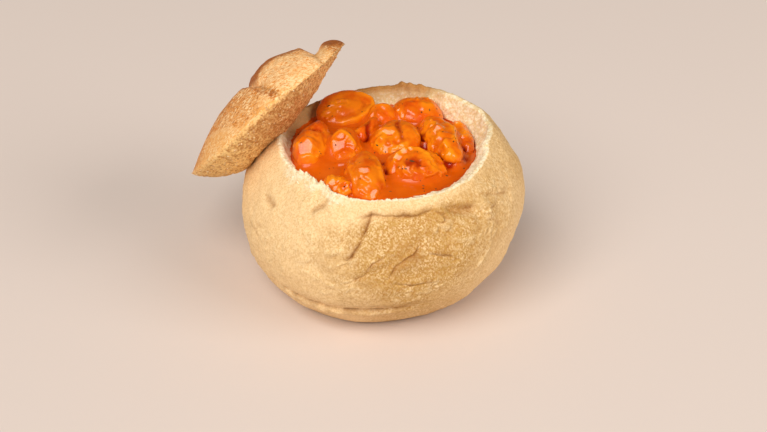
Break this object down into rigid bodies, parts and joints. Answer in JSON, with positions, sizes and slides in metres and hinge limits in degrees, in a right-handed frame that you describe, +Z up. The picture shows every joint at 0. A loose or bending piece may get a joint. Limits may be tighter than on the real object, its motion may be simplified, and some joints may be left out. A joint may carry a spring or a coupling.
{
  "type": "stew in a bread bowl",
  "caption": "Round loaf hollowed into a bowl and filled with glossy orange stew, its slashed top cut off and leaning on the rim.",
  "frame": {"origin": "middle of the loaf's flat base, where it stands", "axes": "+Z up, +Y away from the viewer of the picture, +X to the viewer's right; the lid leans on the rim at -X, +Y"},
  "size_m": [0.1654, 0.1451, 0.1136],
  "materials": {
    "bread_crust": "pale golden soft crust, white torn crumb at the cut",
    "lid_crust": "browner slashed crust, cream crumb beneath",
    "stew_sauce": "glossy orange-red sauce",
    "stew_piece": "glossy sauce-coated pieces"
  },
  "bodies": {
    "root": {"bread_bowl": "bread_crust", "bread_lid": "lid_crust", "stew_sauce": "stew_sauce", "piece_front": "stew_piece", "piece_front_right": "stew_piece", "piece_right": "stew_piece", "piece_left": "stew_piece", "piece_middle_left": "stew_piece", "piece_middle": "stew_piece", "piece_back_left": "stew_piece", "piece_back_right": "stew_piece", "piece_back": "stew_piece", "piece_fold": "stew_piece", "piece_front_left": "stew_piece", "piece_right_low": "stew_piece"}
  },
  "joints": []
}
